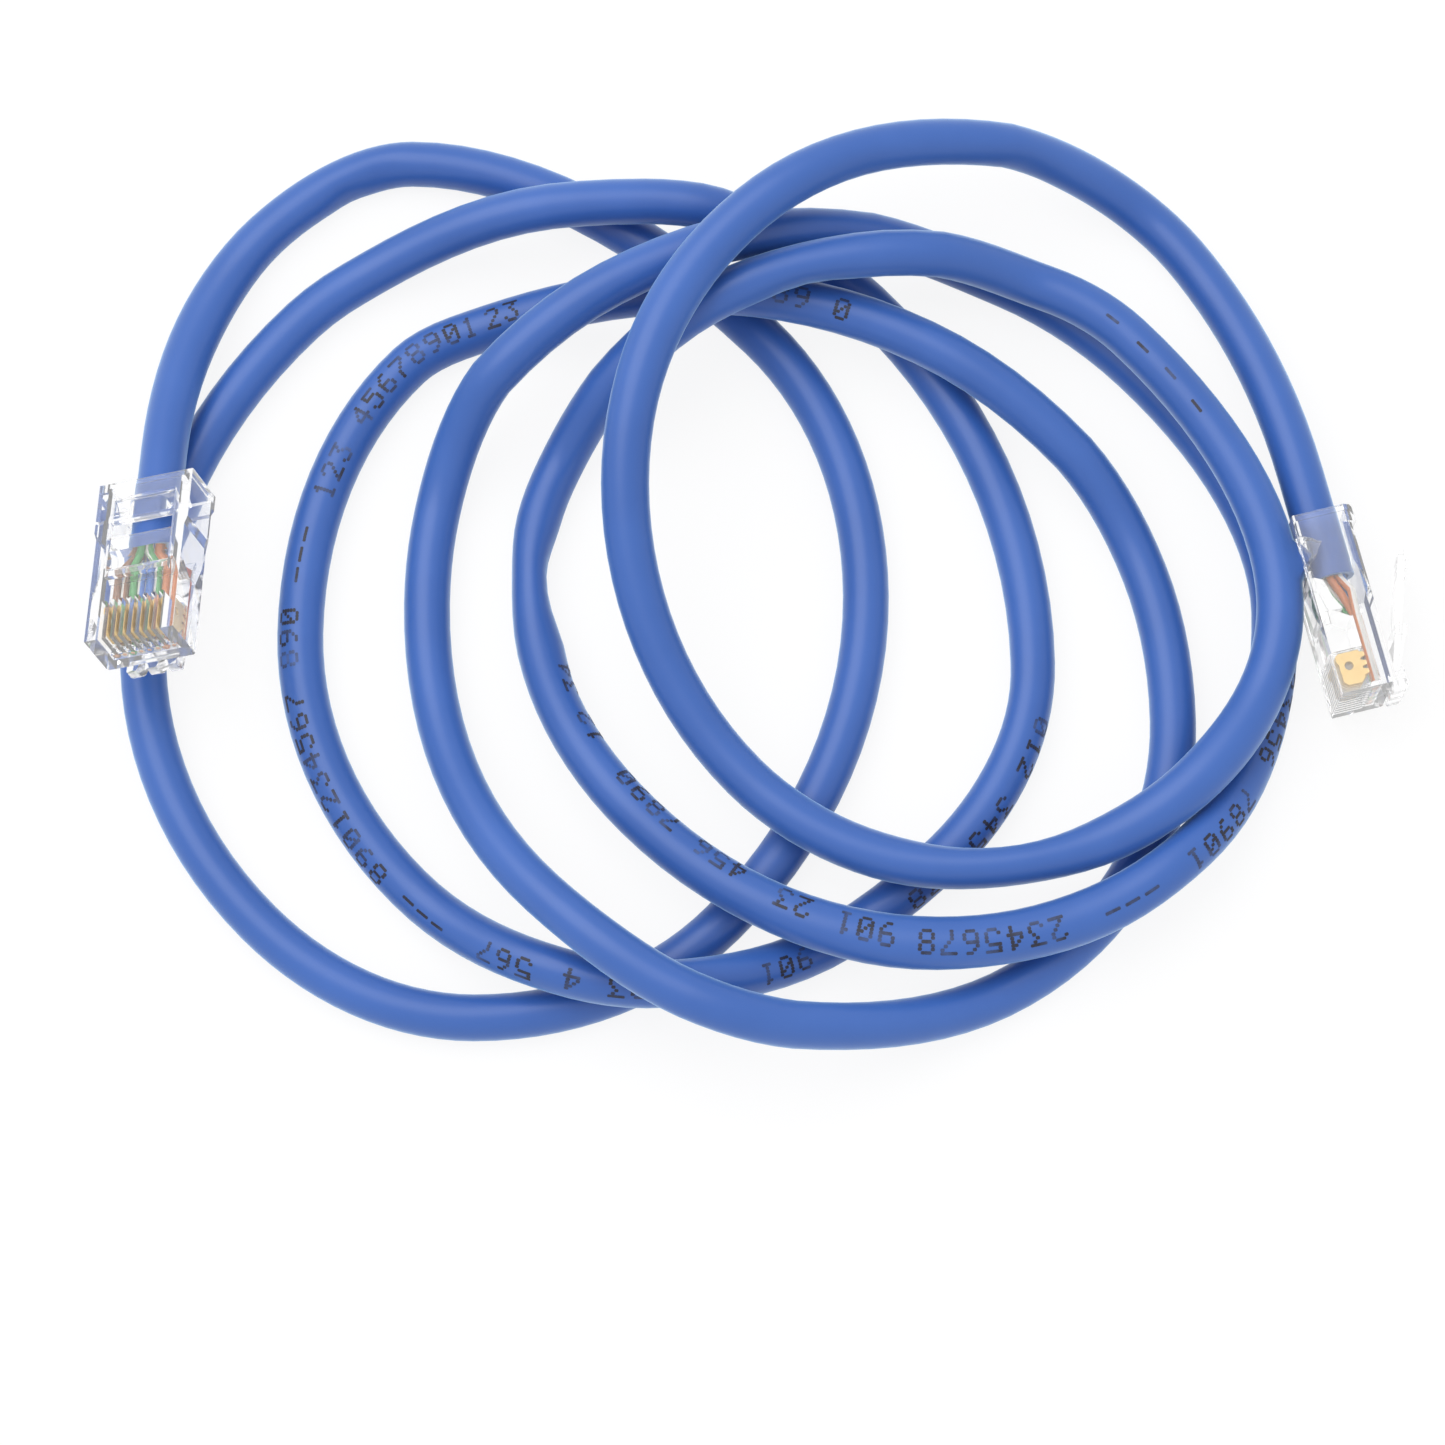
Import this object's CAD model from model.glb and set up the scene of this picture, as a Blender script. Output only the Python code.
import math

import bpy
from mathutils import Euler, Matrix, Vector


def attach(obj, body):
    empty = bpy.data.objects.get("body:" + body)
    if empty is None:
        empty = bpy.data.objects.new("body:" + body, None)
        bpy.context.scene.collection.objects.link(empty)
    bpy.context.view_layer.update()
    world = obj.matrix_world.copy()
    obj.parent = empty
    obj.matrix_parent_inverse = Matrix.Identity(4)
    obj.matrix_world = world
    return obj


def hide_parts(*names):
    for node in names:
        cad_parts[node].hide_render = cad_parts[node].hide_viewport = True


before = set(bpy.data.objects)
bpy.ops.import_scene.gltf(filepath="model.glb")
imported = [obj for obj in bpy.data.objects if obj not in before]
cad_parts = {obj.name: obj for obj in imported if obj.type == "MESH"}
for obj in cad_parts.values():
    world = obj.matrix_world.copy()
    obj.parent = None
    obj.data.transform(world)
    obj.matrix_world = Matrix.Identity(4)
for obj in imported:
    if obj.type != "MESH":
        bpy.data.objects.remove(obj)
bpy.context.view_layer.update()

# Cable jacket. One round tube of extruded blue PVC, eased by hand into five loose
# loops and a half, whose two ends run into the plugs. Where it lies on the table it is
# pressed a little flat, and in places it has been coiled it is no longer quite round.
MM = 0.001
CABLE_R = 2.65 * MM
BORE_R = 2.0 * MM
BORE_DEPTH = 12 * MM
END_ROUNDING = 0.96
REST_Z = 2.12
STRAIGHT = 6
EIGHTH_TURN = 45
WHOLE_TURNS = 6
# Each plug: where the cable enters it, its tilt, roll and turn, and how deep the jacket sits.
PLUG_A = ((-67.2, 9.2, 10.5), (18, 21, 178), 9.2)
PLUG_B = ((65, 7, 5.84), (0, 90, 194), 7.0)
# The loops seen from above, an eighth of a turn apart, in mm.
TURN_KNOTS = [
    (-56.5, 43.5), (-39.5, 52.5), (1.5, 31), (13.5, -0.5),
    (-3, -39), (-31, -50), (-55.5, -39), (-69.5, -6.5),
    (-52, 33), (-12, 45.5), (14, 35), (32.5, -8.5),
    (22.5, -31), (-11.5, -47.5), (-38.5, -35), (-51.5, -5),
    (-39.5, 27.5), (-6, 34.5), (37.5, 15.5), (48.5, -15.5),
    (38, -40.5), (5, -52.5), (-23, -38), (-37, -1.5),
    (-29.5, 23), (14, 41), (45, 27), (60.5, -2.5),
    (50, -31.5), (21, -43), (-12.5, -28), (-25, 2),
    (-16, 23), (22, 37), (44, 29), (60.5, -3),
    (51, -23.5), (24, -34), (-0.5, -23.5), (-14, 8.5),
    (-1.5, 38.5), (30, 51), (48.5, 44),
]
# The height of the jacket's axis: (turn in eighths, mm).
HEIGHTS = [
    (0, PLUG_A[0][2] - STRAIGHT * math.sin(math.radians(PLUG_A[1][0]))), (0.9, REST_Z),
    (9.2, REST_Z), (9.8, 8.3), (10.2, 8.3), (10.8, REST_Z),
    (13.35, REST_Z), (13.95, 8.3), (14.3, 8.3), (15, REST_Z),
    (17.3, REST_Z), (18, 8.2), (18.6, 8.6), (19.5, REST_Z),
    (21.3, REST_Z), (22.4, 14.3), (22.7, 14.3), (23.9, REST_Z),
    (24.3, REST_Z), (25.35, 14), (25.6, 14), (26.5, REST_Z),
    (28.4, REST_Z), (29.2, 8), (30.3, 9), (31, 8), (32, REST_Z),
    (32.5, REST_Z), (33.5, 15), (33.8, 15), (34.5, 8), (36.4, 8), (37, 9.2), (37.6, 8),
    (38.9, 8), (40.6, 20), (41.1, 20), (43, REST_Z), (43.2, REST_Z), (44, PLUG_B[0][2]),
]
# Where the jacket is wider across than it is high: (turn in eighths, width).
OVALS = [
    (0, 1.0), (0.6, 1.08), (2, 1.0), (21.8, 1.0), (22.4, 1.1), (23, 1.0),
    (29, 1.02), (29.6, 1.16), (30, 1.18), (30.7, 1.04), (31.7, 0.98), (32, 0.86),
    (32.3, 0.98), (33, 1.0), (36.3, 1.02), (36.9, 1.1), (37.3, 1.06), (37.8, 0.9),
    (38.4, 1.0), (40.2, 1.03), (40.7, 1.1), (41.2, 1.04), (42, 1.0), (44, 1.0),
]
# Creases from being coiled: turn in eighths, half length, degrees from the top towards
# the inside of the loop, and depth in mm.
CREASES = [
    (32.0, 0.17, 90, 0.66), (31.72, 0.1, 80, -0.3), (33.64, 0.1, 95, 0.75),
    (37.85, 0.28, 95, 0.5), (29.8, 0.35, -80, 0.3),
    (22.4, 0.3, 70, 0.35), (40.75, 0.3, 60, 0.3), (1.05, 0.3, 80, 0.35),
    (5.3, 0.4, 60, 0.2), (12.2, 0.35, 100, 0.25), (35.0, 0.5, -100, 0.2),
    (1.5, 0.12, 70, 0.55), (1.78, 0.14, 45, 0.4), (41.5, 0.16, 60, 0.45),
    (42.1, 0.18, 70, 0.55),
]
CREASE_FADE = 3
# Where a crimped wedge presses the jacket, in its plug's frame, in mm.
WEDGE_BITE = 2.08
WEDGE_SPAN = (2.2, 5.1)
WEDGE_REACH = 4
RINGS_PER_KNOT = 14
JACKET_SIDES = 28
ROUND_ANGLE = math.radians(50)


def plug_axis_point(plug, y):
    """A point on a plug's cable axis, y mm from its entry, in mm."""
    place, turn, _ = plug
    tilt, yaw = math.radians(turn[0]), math.radians(turn[2])
    along = Vector(
        (-math.sin(yaw) * math.cos(tilt), math.cos(yaw) * math.cos(tilt), math.sin(tilt))
    )
    return Vector(place) + y * along


KNOTS = (
    [plug_axis_point(PLUG_A, -STRAIGHT).xy]
    + [Vector(k) for k in TURN_KNOTS]
    + [plug_axis_point(PLUG_B, -STRAIGHT).xy]
)
LAST_KNOT = len(KNOTS) - 1


def heading(i):
    """The way the cable runs at a knot: an eighth of a turn clockwise from one to the next."""
    if i == 0:
        return math.radians(PLUG_A[1][2] - 90)
    if i == LAST_KNOT:
        return math.radians(PLUG_B[1][2] + 90 - 360 * WHOLE_TURNS)
    return math.radians(EIGHTH_TURN - EIGHTH_TURN * (i - 1))


def handles(i):
    """The two handles that join knots i and i + 1 with a round arc."""
    h0 = Vector((math.cos(heading(i)), math.sin(heading(i))))
    h1 = Vector((math.cos(heading(i + 1)), math.sin(heading(i + 1))))
    chord = KNOTS[i + 1] - KNOTS[i]
    turn = heading(i) - heading(i + 1)
    k = 4 / 3 * math.tan(turn / 4) / math.tan(turn / 2) / h0.cross(h1)
    return chord.cross(h1) * k * h0, h0.cross(chord) * k * h1


START_SLOPE = -math.tan(math.radians(PLUG_A[1][0])) * 3 * handles(0)[0].length


def between(stations, t):
    """Eases from one station's value to the next, and gives the stretch's number."""
    for n in range(len(stations) - 1):
        (t0, a), (t1, b) = stations[n], stations[n + 1]
        if t < t1 or n == len(stations) - 2:
            u = (t - t0) / (t1 - t0)
            return a + (b - a) * u * u * (3 - 2 * u), n, u, t1 - t0


def route_point(t):
    """The cable's axis at t eighths of a turn from plug A, in metres."""
    i = min(int(t), LAST_KNOT - 1)
    u = t - i
    v = 1 - u
    first, second = handles(i)
    a, b = KNOTS[i], KNOTS[i + 1]
    plan = v**3 * a + 3 * v * v * u * (a + first) + 3 * v * u * u * (b - second) + u**3 * b
    z, stretch, w, span = between(HEIGHTS, t)
    if stretch == 0:
        z += START_SLOPE * span * w * (1 - w) ** 2
    return Vector((plan.x, plan.y, z)) * MM


# The route from end to end, in steps of half a millimetre in the plugs: (point, eighths of
# a turn).
in_a = range(2 * int(PLUG_A[2]), 1 - 2 * STRAIGHT, -1)
in_b = range(-2 * STRAIGHT, 2 * int(PLUG_B[2]) + 1)
route = [(plug_axis_point(PLUG_A, y / 2) * MM, 0) for y in in_a]
route[0] = (plug_axis_point(PLUG_A, PLUG_A[2]) * MM, 0)
for n in range(LAST_KNOT * RINGS_PER_KNOT):
    route.append((route_point(n / RINGS_PER_KNOT), n / RINGS_PER_KNOT))
route += [(plug_axis_point(PLUG_B, y / 2) * MM, LAST_KNOT) for y in in_b]
path = [p for p, t in route]
run = [0.0]
for a, b in zip(path, path[1:]):
    run.append(run[-1] + (b - a).length)


def ring_axes(i):
    """The tube's directions at ring i: along, to its left, and up."""
    ahead = path[min(i + 1, len(path) - 1)] - path[i]
    behind = path[i] - path[max(i - 1, 0)]
    ahead = ahead.normalized() if ahead.length else Vector()
    behind = behind.normalized() if behind.length else Vector()
    along = (ahead + behind).normalized()
    left = Vector((-along.y, along.x, 0)).normalized()
    return along, left, along.cross(left)


def to_plug(plug, p):
    """A point in a plug's own frame, in mm, and the plug's turn."""
    place, turn, _ = plug
    x, y, z = (math.radians(a) for a in turn)
    m = Euler((0, 0, z)).to_matrix() @ Euler((x, 0, 0)).to_matrix() @ Euler((0, y, 0)).to_matrix()
    return m.transposed() @ (p / MM - Vector(place)), m


def jacket_point(i, angle, r, lift=0.0):
    """A point on the jacket's skin at ring i, with its ovals, flats and wedge dents."""
    _, left, up = ring_axes(i)
    t = route[i][1]
    oval = between(OVALS, t)[0]
    if r > BORE_R:
        for centre, reach, side, depth in CREASES:
            facing = math.cos(angle - math.pi / 2 - math.radians(side))
            if abs(t - centre) < CREASE_FADE * reach and facing > 0:
                lift -= depth * MM * facing**3 * math.exp(-(((t - centre) / reach) ** 2))
    across = math.cos(angle) * left * oval + math.sin(angle) * up / math.sqrt(oval)
    p = path[i] + (r + lift) * across
    for plug in (PLUG_A, PLUG_B):
        q, m = to_plug(plug, p)
        under_wedge = WEDGE_SPAN[0] < q.y < WEDGE_SPAN[1] and abs(q.x) < WEDGE_REACH
        if r == CABLE_R and under_wedge and WEDGE_BITE < q.z < WEDGE_REACH:
            q.z = WEDGE_BITE
            p = (m @ q + Vector(plug[0])) * MM
    return Vector((p.x, p.y, max(p.z, 0.0)))


def jacket_rings():
    """Rings from the bottom of one bore, over the outside, to the bottom of the other."""
    last = len(path) - 1
    rings = [(n, BORE_R) for n in reversed(range(len(path))) if run[n] < BORE_DEPTH]
    rings.append((0, CABLE_R * END_ROUNDING))
    rings += [(n, CABLE_R) for n in range(len(path))]
    rings.append((last, CABLE_R * END_ROUNDING))
    rings += [(n, BORE_R) for n in reversed(range(len(path))) if run[last] - run[n] < BORE_DEPTH]
    return rings


rings = jacket_rings()
points = []
for n, r in rings:
    for k in range(JACKET_SIDES):
        points.append(jacket_point(n, 2 * math.pi * k / JACKET_SIDES + math.pi / 2, r))
faces = []
for ring in range(len(rings) - 1):
    for k in range(JACKET_SIDES):
        a, b = ring * JACKET_SIDES + k, ring * JACKET_SIDES + (k + 1) % JACKET_SIDES
        faces.append((a, a + JACKET_SIDES, b + JACKET_SIDES, b))
faces.append(tuple(range(JACKET_SIDES)))
faces.append(tuple(reversed(range(len(points) - JACKET_SIDES, len(points)))))
mesh = bpy.data.meshes.new("jacket")
mesh.from_pydata(points, [], faces)
jacket = bpy.data.objects.new("jacket", mesh)
bpy.context.scene.collection.objects.link(jacket)
bpy.ops.object.select_all(action="DESELECT")
jacket.select_set(True)
bpy.context.view_layer.objects.active = jacket
bpy.ops.object.mode_set(mode="EDIT")
bpy.ops.mesh.select_all(action="SELECT")
bpy.ops.mesh.normals_make_consistent(inside=False)
bpy.ops.object.mode_set(mode="OBJECT")
bpy.ops.object.shade_smooth_by_angle(angle=ROUND_ANGLE)

blue_pvc = bpy.data.materials.new("blue_pvc")
blue_pvc.use_nodes = True
nodes, links = blue_pvc.node_tree.nodes, blue_pvc.node_tree.links
skin = nodes["Principled BSDF"]
skin.inputs["IOR"].default_value = 1.5
skin.inputs["Sheen Weight"].default_value = 1.0
skin.inputs["Sheen Roughness"].default_value = 0.35
skin.inputs["Sheen Tint"].default_value = (0.5, 0.75, 1.0, 1)
where = nodes.new("ShaderNodeTexCoord")
mottle = nodes.new("ShaderNodeTexNoise")
mottle.inputs["Scale"].default_value = 55
mottle.inputs["Detail"].default_value = 4
tint = nodes.new("ShaderNodeValToRGB")
tint.color_ramp.elements[0].position = 0.35
tint.color_ramp.elements[0].color = (0.028, 0.098, 0.36, 1)
tint.color_ramp.elements[1].position = 0.7
tint.color_ramp.elements[1].color = (0.037, 0.117, 0.41, 1)
gloss = nodes.new("ShaderNodeMapRange")
gloss.inputs["To Min"].default_value = 0.32
gloss.inputs["To Max"].default_value = 0.44
grain = nodes.new("ShaderNodeTexNoise")
grain.inputs["Scale"].default_value = 2600
grain.inputs["Detail"].default_value = 3
bump = nodes.new("ShaderNodeBump")
bump.inputs["Strength"].default_value = 0.12
bump.inputs["Distance"].default_value = 0.03 * MM
links.new(where.outputs["Object"], mottle.inputs["Vector"])
links.new(where.outputs["Object"], grain.inputs["Vector"])
links.new(mottle.outputs["Fac"], tint.inputs["Fac"])
links.new(tint.outputs["Color"], skin.inputs["Base Color"])
links.new(mottle.outputs["Fac"], gloss.inputs["Value"])
links.new(gloss.outputs["Result"], skin.inputs["Roughness"])
links.new(grain.outputs["Fac"], bump.inputs["Height"])
links.new(bump.outputs["Normal"], skin.inputs["Normal"])
jacket.data.materials.append(blue_pvc)

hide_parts("cable_jacket")
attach(jacket, "cable_and_plugs")

# Plug housings, latches and crimp wedges. Clear polycarbonate, injection moulded with a
# small radius on every edge; the crimp tool presses the wedges in. A trace of glow and
# milkiness stands for the light that is caught between their many walls.
HOUSING_EDGE = 0.09 * MM
LATCH_EDGE = 0.08 * MM
WEDGE_EDGE = 0.08 * MM
MERGE_DISTANCE = 0.002 * MM
FLAT_ANGLE = math.radians(1)
FACET_ANGLE = math.radians(14)
EDGE_ANGLE = math.radians(17)
clear = bpy.data.materials.new("clear_polycarbonate")
clear.use_nodes = True
nodes, links = clear.node_tree.nodes, clear.node_tree.links
glassy = nodes["Principled BSDF"]
glassy.inputs["Base Color"].default_value = (1.0, 1.0, 1.0, 1)
glassy.inputs["Transmission Weight"].default_value = 0.96
glassy.inputs["Emission Color"].default_value = (1.0, 1.0, 1.0, 1)
glassy.inputs["Emission Strength"].default_value = 0.03
glassy.inputs["IOR"].default_value = 1.4
where = nodes.new("ShaderNodeTexCoord")
flow = nodes.new("ShaderNodeTexNoise")
flow.inputs["Scale"].default_value = 420
flow.inputs["Detail"].default_value = 2
polish = nodes.new("ShaderNodeMapRange")
polish.inputs["To Min"].default_value = 0.0
polish.inputs["To Max"].default_value = 0.04
wave = nodes.new("ShaderNodeBump")
wave.inputs["Strength"].default_value = 0.05
wave.inputs["Distance"].default_value = 0.05 * MM
links.new(where.outputs["Object"], flow.inputs["Vector"])
links.new(flow.outputs["Fac"], polish.inputs["Value"])
links.new(polish.outputs["Result"], glassy.inputs["Roughness"])
links.new(flow.outputs["Fac"], wave.inputs["Height"])
links.new(wave.outputs["Normal"], glassy.inputs["Normal"])


def own_copy(node, prefix, finish):
    """A copy of a CAD node with its loose triangles merged, left open in edit mode."""
    bpy.ops.object.select_all(action="DESELECT")
    piece = bpy.data.objects.new(prefix + node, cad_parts[node].data.copy())
    bpy.context.scene.collection.objects.link(piece)
    piece.data.materials.clear()
    piece.data.materials.append(finish)
    piece.select_set(True)
    bpy.context.view_layer.objects.active = piece
    bpy.ops.object.mode_set(mode="EDIT")
    bpy.ops.mesh.select_all(action="SELECT")
    bpy.ops.mesh.remove_doubles(threshold=MERGE_DISTANCE)
    return piece


def stand_in(piece, node, body):
    """Gives a finished copy its node's place, body and finish."""
    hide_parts(node)
    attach(piece, body)


def moulded_copy(node, radius, body, finish):
    """A copy of a CAD node with its edges rounded."""
    piece = own_copy(node, "moulded_", finish)
    bpy.ops.mesh.dissolve_limited(angle_limit=FLAT_ANGLE)
    bpy.ops.object.mode_set(mode="OBJECT")
    bpy.ops.object.shade_smooth_by_angle(angle=FACET_ANGLE)
    round_edges = piece.modifiers.new("edges", "BEVEL")
    round_edges.width = radius
    round_edges.segments = 2
    round_edges.limit_method = "ANGLE"
    round_edges.angle_limit = EDGE_ANGLE
    round_edges.harden_normals = True
    bpy.ops.object.modifier_apply(modifier="edges")
    stand_in(piece, node, body)


for plug in "ab":
    moulded_copy(f"plug_{plug}_housing", HOUSING_EDGE, "cable_and_plugs", clear)
    moulded_copy(f"plug_{plug}_latch", LATCH_EDGE, f"plug_{plug}_latch", clear)
    for wedge in ("jacket_wedge", "wire_wedge"):
        moulded_copy(f"plug_{plug}_{wedge}", WEDGE_EDGE, "cable_and_plugs", clear)

# Conductors. Eight solid copper wires in coloured polyethylene, straightened, fanned
# out and trimmed together before the plug goes on; every second one is white with a
# stripe of its pair's colour.
PAIR_COLOURS = {
    "orange": (0.66, 0.2, 0.05), "green": (0.08, 0.42, 0.12),
    "blue": (0.05, 0.2, 0.62), "brown": (0.3, 0.13, 0.06),
}
WIRE_PAIRS = ["orange", "orange", "green", "blue", "blue", "green", "brown", "brown"]
WHITE_WIRES = (1, 3, 5, 7)
UNEVEN = 0.12
STRIPE_SIDE = (-0.6, 0, 0.8)
STRIPE_REACH = 0.6


def insulation(name, colour):
    """Glossy polyethylene of one colour, a little uneven along the wire."""
    made = bpy.data.materials.new(name)
    made.use_nodes = True
    nodes, links = made.node_tree.nodes, made.node_tree.links
    coat = nodes["Principled BSDF"]
    coat.inputs["Roughness"].default_value = 0.34
    coat.inputs["Subsurface Weight"].default_value = 0.15
    coat.inputs["Subsurface Radius"].default_value = (0.6 * MM, 0.6 * MM, 0.6 * MM)
    where = nodes.new("ShaderNodeTexCoord")
    flow = nodes.new("ShaderNodeTexNoise")
    flow.inputs["Scale"].default_value = 300
    ramp = nodes.new("ShaderNodeValToRGB")
    ramp.color_ramp.elements[0].color = (*((1 - UNEVEN) * c for c in colour), 1)
    ramp.color_ramp.elements[1].color = (*(min((1 + UNEVEN) * c, 1) for c in colour), 1)
    links.new(where.outputs["Object"], flow.inputs["Vector"])
    links.new(flow.outputs["Fac"], ramp.inputs["Fac"])
    links.new(ramp.outputs["Color"], coat.inputs["Base Color"])
    return made


white_coat = insulation("white_insulation", (0.84, 0.82, 0.78))
pair_coats = {pair: insulation(pair + "_insulation", c) for pair, c in PAIR_COLOURS.items()}


def smooth_copy(node, finish, stripe=None):
    """A copy of a CAD wire with its facets smoothed. A stripe of a second finish may run
    along it, a little off its top."""
    piece = own_copy(node, "smooth_", finish)
    bpy.ops.object.mode_set(mode="OBJECT")
    bpy.ops.object.shade_smooth_by_angle(angle=ROUND_ANGLE)
    if stripe:
        piece.data.materials.append(stripe)
        _, turned = to_plug(PLUG_A if "plug_a" in node else PLUG_B, Vector())
        side = turned @ Vector(STRIPE_SIDE)
        for face in piece.data.polygons:
            if face.normal.dot(side) > STRIPE_REACH:
                face.material_index = 1
    stand_in(piece, node, "cable_and_plugs")


for plug in "ab":
    for n, pair in enumerate(WIRE_PAIRS, start=1):
        if n in WHITE_WIRES:
            smooth_copy(f"plug_{plug}_wire_{n}", white_coat, pair_coats[pair])
        else:
            smooth_copy(f"plug_{plug}_wire_{n}", pair_coats[pair])


def metal(name, metallic, grain, detail, tones, shine):
    """Bare or plated metal, its tone and roughness a little uneven."""
    made = bpy.data.materials.new(name)
    made.use_nodes = True
    nodes, links = made.node_tree.nodes, made.node_tree.links
    face = nodes["Principled BSDF"]
    face.inputs["Metallic"].default_value = metallic
    where = nodes.new("ShaderNodeTexCoord")
    drawn = nodes.new("ShaderNodeTexNoise")
    drawn.inputs["Scale"].default_value = grain
    drawn.inputs["Detail"].default_value = detail
    tone = nodes.new("ShaderNodeValToRGB")
    tone.color_ramp.elements[0].color = (*tones[0], 1)
    tone.color_ramp.elements[1].color = (*tones[1], 1)
    polish = nodes.new("ShaderNodeMapRange")
    polish.inputs["To Min"].default_value = shine[0]
    polish.inputs["To Max"].default_value = shine[1]
    links.new(where.outputs["Object"], drawn.inputs["Vector"])
    links.new(drawn.outputs["Fac"], tone.inputs["Fac"])
    links.new(tone.outputs["Color"], face.inputs["Base Color"])
    links.new(drawn.outputs["Fac"], polish.inputs["Value"])
    links.new(polish.outputs["Result"], face.inputs["Roughness"])
    return made


copper = metal(
    "bare_copper", metallic=1.0, grain=900, detail=2,
    tones=[(0.62, 0.3, 0.15), (0.85, 0.47, 0.28)], shine=(0.22, 0.4),
)
for plug in "ab":
    smooth_copy(f"plug_{plug}_cores", copper)

# Contacts. Stamped phosphor bronze blades, plated with nickel and then gold, that the
# crimp tool pushes through the conductors.
CONTACT_EDGE = 0.03 * MM
gold = metal(
    "gold_plate", metallic=0.55, grain=700, detail=3,
    tones=[(0.76, 0.52, 0.19), (0.9, 0.65, 0.29)], shine=(0.3, 0.45),
)
for plug in "ab":
    for n in range(1, 9):
        blade = f"plug_{plug}_contact_{n}"
        moulded_copy(blade, CONTACT_EDGE, "cable_and_plugs", gold)

# Marks on the jacket. Black ink, jetted on in dots as the cable leaves the extruder:
# plain counting numbers and dashes, worn thin in places. Each row of a digit is five bits.
DIGIT_ROWS = {
    "0": (14, 17, 19, 21, 25, 17, 14), "1": (4, 12, 4, 4, 4, 4, 14),
    "2": (14, 17, 1, 2, 4, 8, 31), "3": (31, 2, 4, 2, 1, 17, 14),
    "4": (2, 6, 10, 18, 31, 2, 2), "5": (31, 16, 30, 1, 1, 17, 14),
    "6": (6, 8, 16, 30, 17, 17, 14), "7": (31, 1, 2, 4, 8, 8, 8),
    "8": (14, 17, 17, 14, 17, 17, 14), "9": (14, 17, 17, 15, 1, 2, 12),
    "-": (0, 0, 0, 31, 0, 0, 0), " ": (0, 0, 0, 0, 0, 0, 0),
}
DIGIT_COLUMNS = 5
MARK_COLUMNS = 7
MIDDLE_ROW = 3
DOT_ROW = 0.37 * MM
DOT_COLUMN = 0.35 * MM
DOT_LONG = 0.45 * MM
DOT_WIDE = 0.36 * MM
DOT_ROUNDING = 0.25
INK_LIFT = 0.012 * MM
# Each group of marks: the eighth of a turn where it starts, degrees from the top towards
# the inside of the loop at its start and end, and the marks. Feet point inwards.
MARKS = [
    (12.3, -52, -46, "012 3456"), (13.06, -46, -46, "78"), (13.5, -20, -32, "901"),
    (13.98, -22, -26, "23 4"), (14.42, -34, -30, "567"), (14.78, -38, -30, "---"),
    (15.04, -44, -32, "8901234"), (15.6, -34, -28, "567 890"), (16.17, -15, -10, "---"),
    (16.43, 2, 6, "123"), (16.7, 4, 0, "45678901"), (17.46, -2, -10, "23"),
    (17.68, -12, -14, "45"), (18.07, -4, 0, "6"), (18.17, 2, 16, "789 0"),
    (28.2, -52, -36, "23456"),
    (28.7, -38, -34, "78901"), (29.23, -26, -20, "---"), (29.57, -14, -4, "2345678"),
    (30.17, 4, 26, "901 23"), (30.64, 36, 44, "456 7890"), (31.3, 50, 64, "12 34"),
    (34.84, 10, 14, "- -"), (35.12, 8, 12, "- -"),
]


def skin_at(distance, angle):
    """A point just off the jacket's skin, distance metres along it from its start."""
    n = max(i for i in range(len(run) - 1) if run[i] <= distance)
    u = (distance - run[n]) / (run[n + 1] - run[n])
    a = jacket_point(n, angle, CABLE_R, INK_LIFT)
    b = jacket_point(n + 1, angle, CABLE_R, INK_LIFT)
    return a.lerp(b, u)


def distance_at(t):
    """Metres along the route to t eighths of a turn."""
    between_plugs = [n for n in range(len(route)) if 0 < route[n][1] < LAST_KNOT]
    return run[min(between_plugs, key=lambda n: abs(route[n][1] - t))]


bpy.ops.object.select_all(action="DESELECT")
bpy.ops.mesh.primitive_plane_add(size=DOT_WIDE)
dot = bpy.context.active_object
bpy.ops.object.mode_set(mode="EDIT")
bpy.ops.transform.resize(value=(DOT_LONG / DOT_WIDE, 1, 1))
bpy.ops.mesh.bevel(offset=DOT_WIDE * DOT_ROUNDING, affect="VERTICES", segments=1)
bpy.ops.object.mode_set(mode="OBJECT")
dot_shape = [(v.co.x, v.co.y) for v in dot.data.vertices]
dot_faces = [tuple(p.vertices) for p in dot.data.polygons]
ink_points, ink_faces = [], []
for t, first_lean, last_lean, text in MARKS:
    start = distance_at(t)
    for place, sign in enumerate(text):
        lean = first_lean + (last_lean - first_lean) * place / len(text)
        middle = math.pi / 2 + math.radians(lean)
        for row, bits in enumerate(DIGIT_ROWS[sign]):
            for column in range(DIGIT_COLUMNS):
                if not bits >> (DIGIT_COLUMNS - 1 - column) & 1:
                    continue
                x = (place * MARK_COLUMNS + column) * DOT_COLUMN
                y = (MIDDLE_ROW - row) * DOT_ROW
                first = len(ink_points)
                for dx, dy in dot_shape:
                    ink_points.append(skin_at(start + x + dx, middle - (y + dy) / CABLE_R))
                ink_faces += [tuple(first + v for v in f) for f in dot_faces]
bpy.data.objects.remove(dot)
mesh = bpy.data.meshes.new("jacket_marks")
mesh.from_pydata(ink_points, [], ink_faces)
marks = bpy.data.objects.new("jacket_marks", mesh)
bpy.context.scene.collection.objects.link(marks)

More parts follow.
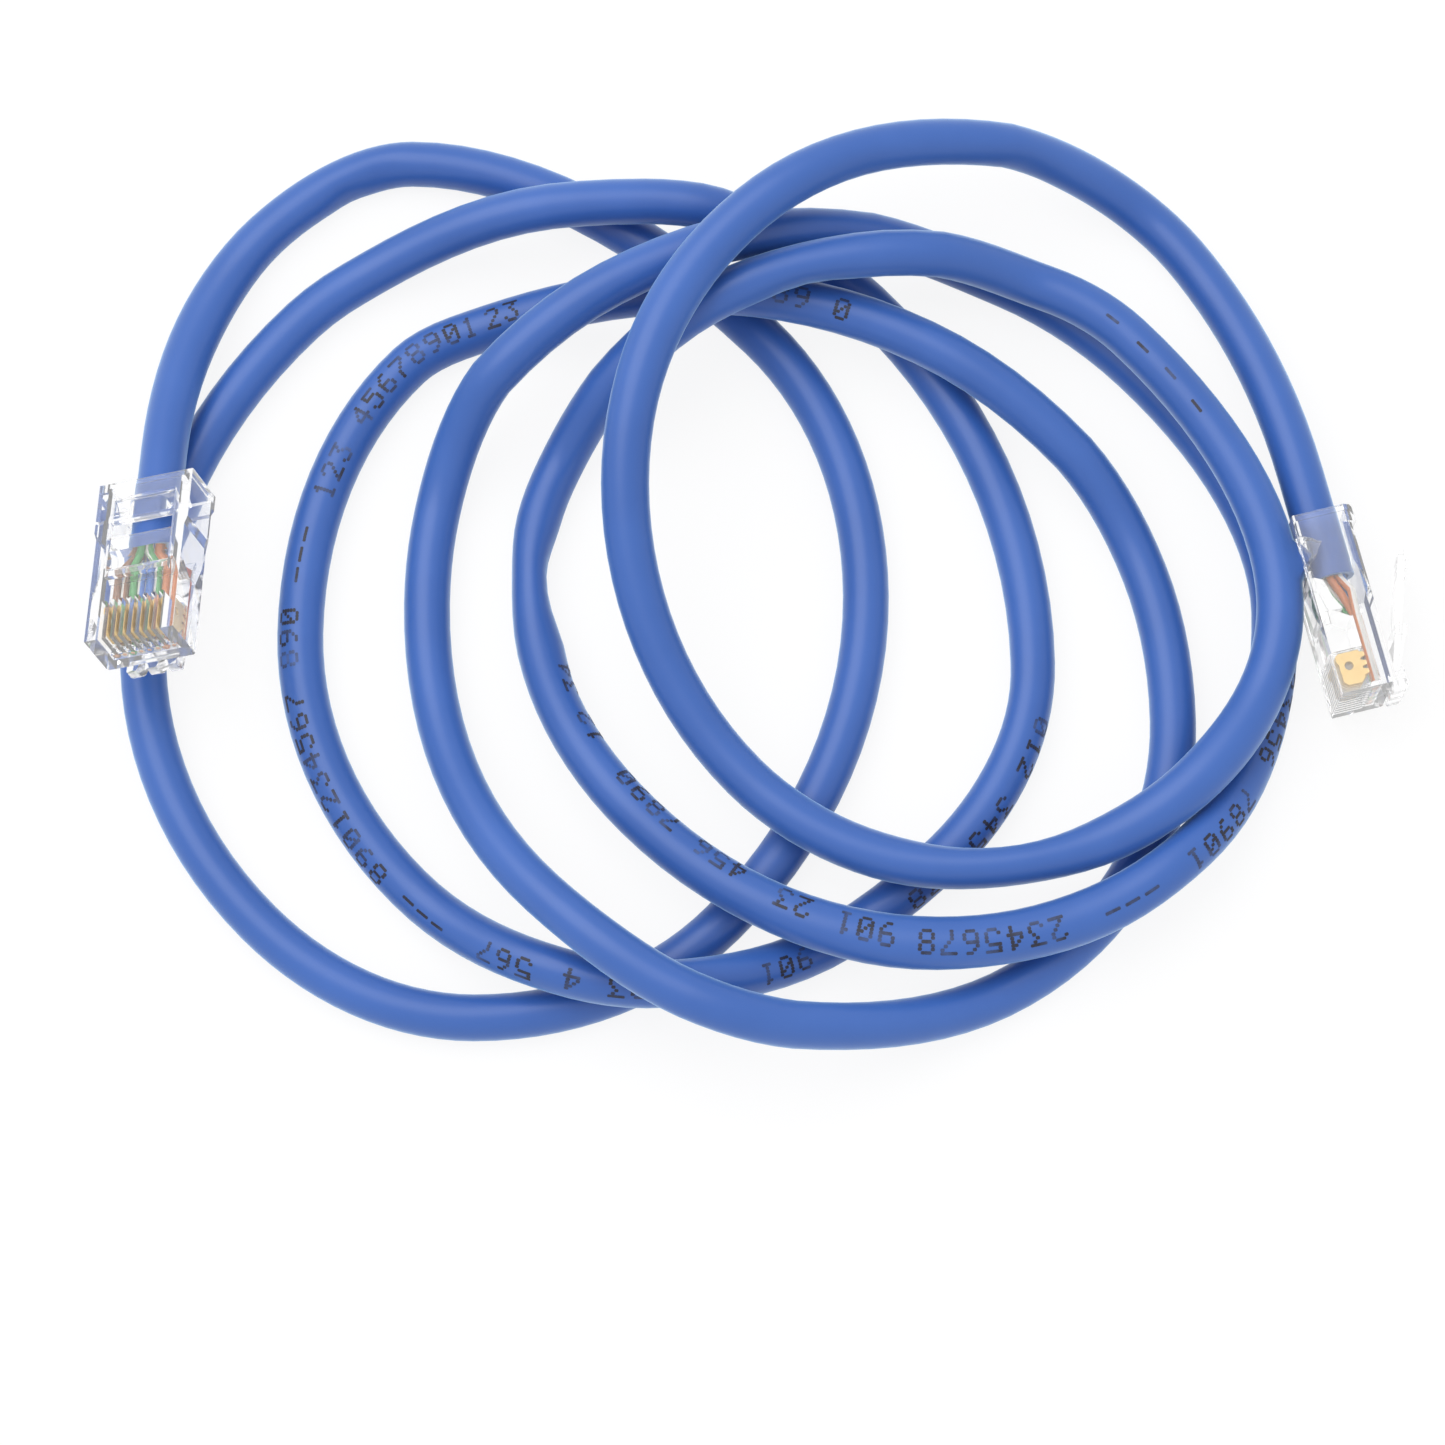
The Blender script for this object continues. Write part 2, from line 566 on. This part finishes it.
ink = bpy.data.materials.new("black_ink")
ink.use_nodes = True
nodes, links = ink.node_tree.nodes, ink.node_tree.links
coat = nodes["Principled BSDF"]
coat.inputs["Roughness"].default_value = 0.5
where = nodes.new("ShaderNodeTexCoord")
wear = nodes.new("ShaderNodeTexNoise")
wear.inputs["Scale"].default_value = 260
wear.inputs["Detail"].default_value = 4
shade = nodes.new("ShaderNodeValToRGB")
shade.color_ramp.elements[0].position = 0.45
shade.color_ramp.elements[0].color = (0.01, 0.012, 0.03, 1)
shade.color_ramp.elements[1].position = 0.72
shade.color_ramp.elements[1].color = (0.05, 0.1, 0.28, 1)
links.new(where.outputs["Object"], wear.inputs["Vector"])
links.new(wear.outputs["Fac"], shade.inputs["Fac"])
links.new(shade.outputs["Color"], coat.inputs["Base Color"])
marks.data.materials.append(ink)
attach(marks, "cable_and_plugs")

# Table. A plain white sheet, lit from all round, that keeps only a faint shadow. Seen
# straight, in a reflection or through the plastic, it is mostly its own even white.
TABLE_SIZE = 6
TABLE_Z = -0.1 * MM
EVEN_WHITE = 0.88
bpy.ops.object.select_all(action="DESELECT")
bpy.ops.mesh.primitive_plane_add(size=TABLE_SIZE, location=(0, 0, TABLE_Z))
table = bpy.context.active_object
table.name = "table"


def seen_as_background(nodes, links):
    """An output that is 1 for rays from the camera, off gloss and through plastic."""
    ray = nodes.new("ShaderNodeLightPath")
    found = ray.outputs["Is Camera Ray"]
    for kind in ("Is Glossy Ray", "Is Transmission Ray"):
        either = nodes.new("ShaderNodeMath")
        either.operation = "MAXIMUM"
        links.new(found, either.inputs[0])
        links.new(ray.outputs[kind], either.inputs[1])
        found = either.outputs[0]
    return found


white = bpy.data.materials.new("white_table")
white.use_nodes = True
nodes, links = white.node_tree.nodes, white.node_tree.links
nodes.remove(nodes["Principled BSDF"])
paper = nodes.new("ShaderNodeBsdfDiffuse")
paper.inputs["Color"].default_value = (0.92, 0.92, 0.93, 1)
glow = nodes.new("ShaderNodeEmission")
glow.inputs["Strength"].default_value = 1.0
part = nodes.new("ShaderNodeMath")
part.operation = "MULTIPLY"
part.inputs[1].default_value = EVEN_WHITE
mix = nodes.new("ShaderNodeMixShader")
links.new(seen_as_background(nodes, links), part.inputs[0])
links.new(part.outputs[0], mix.inputs["Fac"])
links.new(paper.outputs[0], mix.inputs[1])
links.new(glow.outputs[0], mix.inputs[2])
links.new(mix.outputs[0], nodes["Material Output"].inputs["Surface"])
table.data.materials.append(white)

# Light. An even white room, a little weaker than it looks, and a wide soft box at the
# upper left that gives the jacket its soft highlight.
ROOM_LEVEL = 0.92
world = bpy.data.worlds.new("room")
bpy.context.scene.world = world
world.use_nodes = True
nodes, links = world.node_tree.nodes, world.node_tree.links
room = nodes["Background"]
room.inputs["Color"].default_value = (1, 1, 1, 1)
level = nodes.new("ShaderNodeMapRange")
level.inputs["To Min"].default_value = ROOM_LEVEL
level.inputs["To Max"].default_value = 1.0
links.new(seen_as_background(nodes, links), level.inputs["Value"])
links.new(level.outputs["Result"], room.inputs["Strength"])

soft_box = bpy.data.lights.new("soft_box", "AREA")
soft_box.shape = "DISK"
soft_box.size = 1.1
soft_box.energy = 7
lamp = bpy.data.objects.new("soft_box", soft_box)
bpy.context.scene.collection.objects.link(lamp)
lamp.location = (-0.4, 0.3, 0.95)
lamp.rotation_euler = (-lamp.location).to_track_quat("-Z", "Y").to_euler()

# Camera. A long lens looks down on the cable from high in front of it, with the loops in
# the upper part of a square frame.
VIEW_CENTRE = Vector((-0.003, -0.015, 0.0))
VIEW_ELEVATION = math.radians(75)
VIEW_DISTANCE = 0.59
lens = bpy.data.cameras.new("camera")
lens.angle = math.radians(16)
lens.clip_start = 0.01
camera = bpy.data.objects.new("camera", lens)
bpy.context.scene.collection.objects.link(camera)
camera.location = VIEW_CENTRE + VIEW_DISTANCE * Vector(
    (0, -math.cos(VIEW_ELEVATION), math.sin(VIEW_ELEVATION))
)
camera.rotation_euler = (math.pi / 2 - VIEW_ELEVATION, 0, 0)
bpy.context.scene.camera = camera
bpy.context.scene.view_settings.view_transform = "Standard"

bpy.context.view_layer.update()
